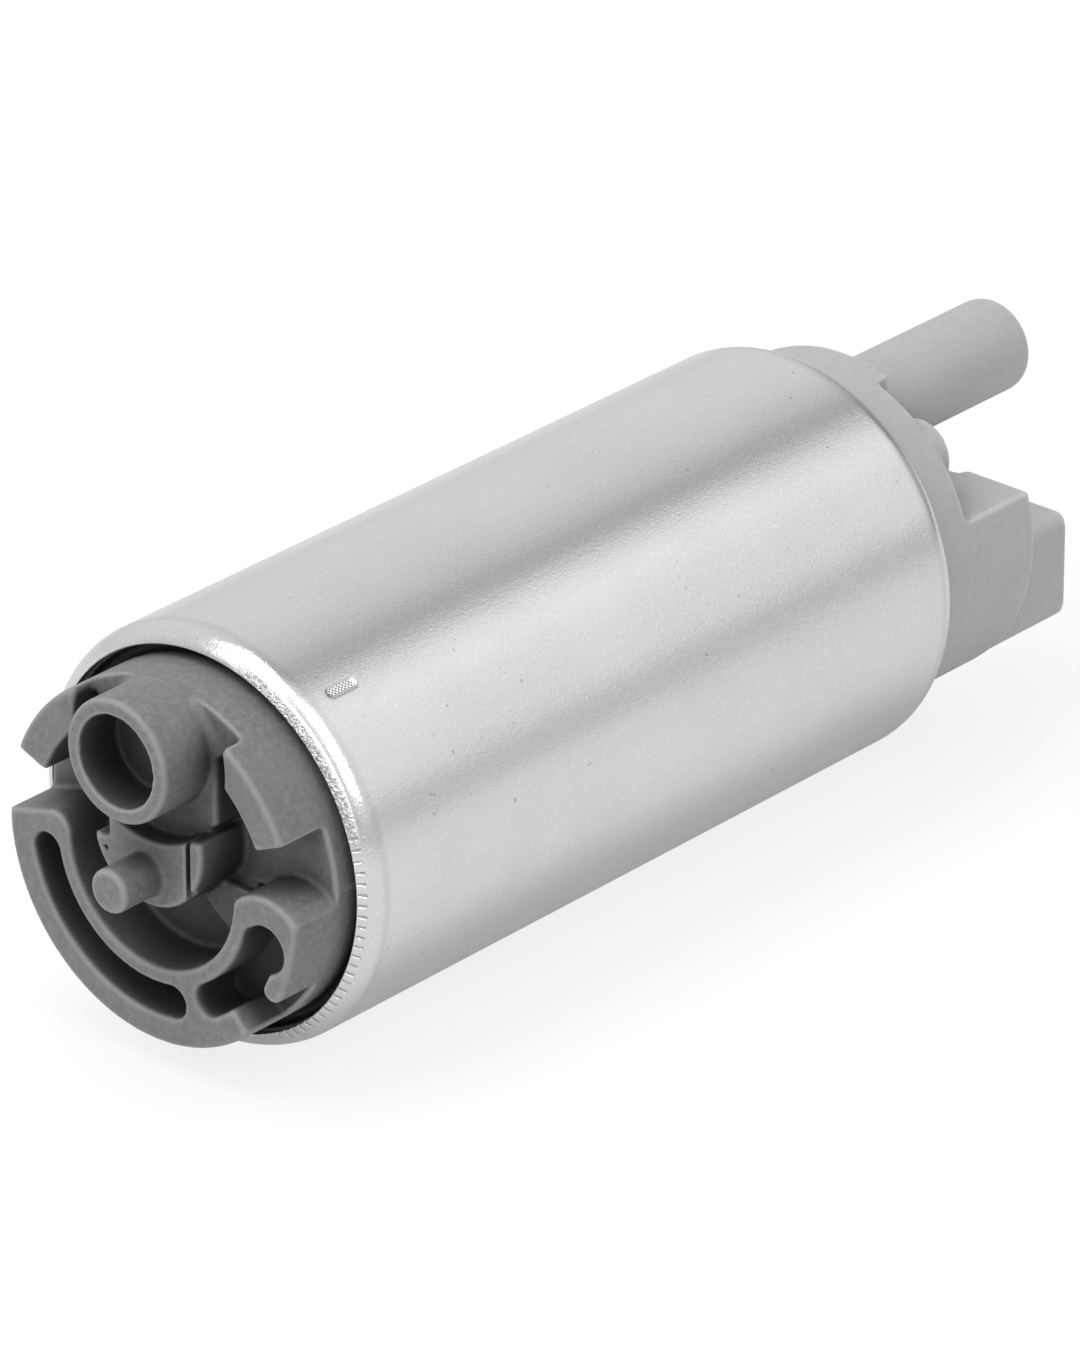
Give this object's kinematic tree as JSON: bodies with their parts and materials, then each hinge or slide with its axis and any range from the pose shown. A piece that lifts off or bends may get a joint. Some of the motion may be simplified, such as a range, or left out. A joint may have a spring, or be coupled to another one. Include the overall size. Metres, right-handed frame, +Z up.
{
  "type": "fuel pump",
  "caption": "In-tank electric fuel pump: rolled steel shell, inlet cover with strainer spigot, and an end cover with hose outlet, plug socket and relief valve.",
  "frame": {"origin": "on the pump's axis, midway between the shell's two rolled lips", "axes": "+X along the pump's axis from the inlet to the outlet, +Z up through both tubes, +Y to the side away from the plug socket"},
  "size_m": [0.1168, 0.038, 0.038],
  "materials": {
    "plated_steel": "bright drawn steel with fine streaks along the tube",
    "dark_cover": "glass-filled moulding, matte, dark grey",
    "light_cover": "glass-filled moulding, matte, mid grey",
    "casing_plastic": "glass-filled moulding, black",
    "impeller_plastic": "filled phenolic moulding, brown",
    "holder_plastic": "unfilled moulding, off-white",
    "insulating_plastic": "insulating moulding, green",
    "commutator_resin": "moulded resin, dark brown",
    "shaft_steel": "ground steel",
    "spring_steel": "drawn spring wire",
    "sintered_bronze": "porous sintered bronze",
    "terminal_brass": "tinned brass strip",
    "copper": "copper, some of it enamelled",
    "core_steel": "stacked electrical steel",
    "magnet_ferrite": "sintered ferrite, dull",
    "choke_ferrite": "sintered ferrite",
    "carbon": "pressed carbon",
    "seal_rubber": "fuel-resistant rubber"
  },
  "bodies": {
    "pump": {"shell": "plated_steel", "inlet_cover": "dark_cover", "thrust_button": "shaft_steel", "pump_body": "casing_plastic", "lower_bearing": "sintered_bronze", "upper_bearing": "sintered_bronze", "magnet_a": "magnet_ferrite", "magnet_b": "magnet_ferrite", "magnet_clip_a": "spring_steel", "magnet_clip_b": "spring_steel", "brush_holder": "holder_plastic", "end_cover": "light_cover", "end_seal": "seal_rubber", "check_valve_seat": "terminal_brass", "check_valve_spring": "spring_steel", "check_valve_guide": "casing_plastic", "relief_spring": "spring_steel", "relief_plug": "terminal_brass", "brush_spring_a": "spring_steel", "brush_spring_b": "spring_steel", "brush_lead_a": "copper", "brush_lead_b": "copper", "choke_core_a": "choke_ferrite", "choke_core_b": "choke_ferrite", "choke_coil_a": "copper", "choke_coil_b": "copper", "terminal_a": "terminal_brass", "terminal_b": "terminal_brass"},
    "rotor": {"impeller": "impeller_plastic", "thrust_washer": "holder_plastic", "rotor_shaft": "shaft_steel", "rotor_core": "core_steel", "insulator_front": "insulating_plastic", "insulator_back": "insulating_plastic", "rotor_winding": "copper", "commutator_hub": "commutator_resin", "commutator_segments": "copper"},
    "outlet_valve": {"check_valve": "holder_plastic", "check_valve_seal": "seal_rubber"},
    "relief_valve": {"relief_ball": "shaft_steel"},
    "brush_one": {"brush_a": "carbon"},
    "brush_two": {"brush_b": "carbon"}
  },
  "joints": [
    {"name": "rotor_spin", "type": "hinge", "parent": "pump", "child": "rotor", "pos_m": [0, 0, 0], "axis": [1, 0, 0], "continuous": true},
    {"name": "check_valve_lift", "type": "slide", "parent": "pump", "child": "outlet_valve", "axis": [1, 0, 0], "range_m": [0, 0.003], "stiffness_N_per_m": 90, "springref_m": -0.003, "deforming": ["check_valve_spring"]},
    {"name": "relief_lift", "type": "slide", "parent": "pump", "child": "relief_valve", "axis": [1, 0, 0], "range_m": [0, 0.0015], "stiffness_N_per_m": 1500, "springref_m": -0.002, "deforming": ["relief_spring"]},
    {"name": "brush_a_slide", "type": "slide", "parent": "pump", "child": "brush_one", "axis": [1, 0, 0], "range_m": [0, 0.003], "stiffness_N_per_m": 100, "springref_m": -0.004, "deforming": ["brush_spring_a", "brush_lead_a"]},
    {"name": "brush_b_slide", "type": "slide", "parent": "pump", "child": "brush_two", "axis": [1, 0, 0], "range_m": [0, 0.003], "stiffness_N_per_m": 100, "springref_m": -0.004, "deforming": ["brush_spring_b", "brush_lead_b"]}
  ]
}
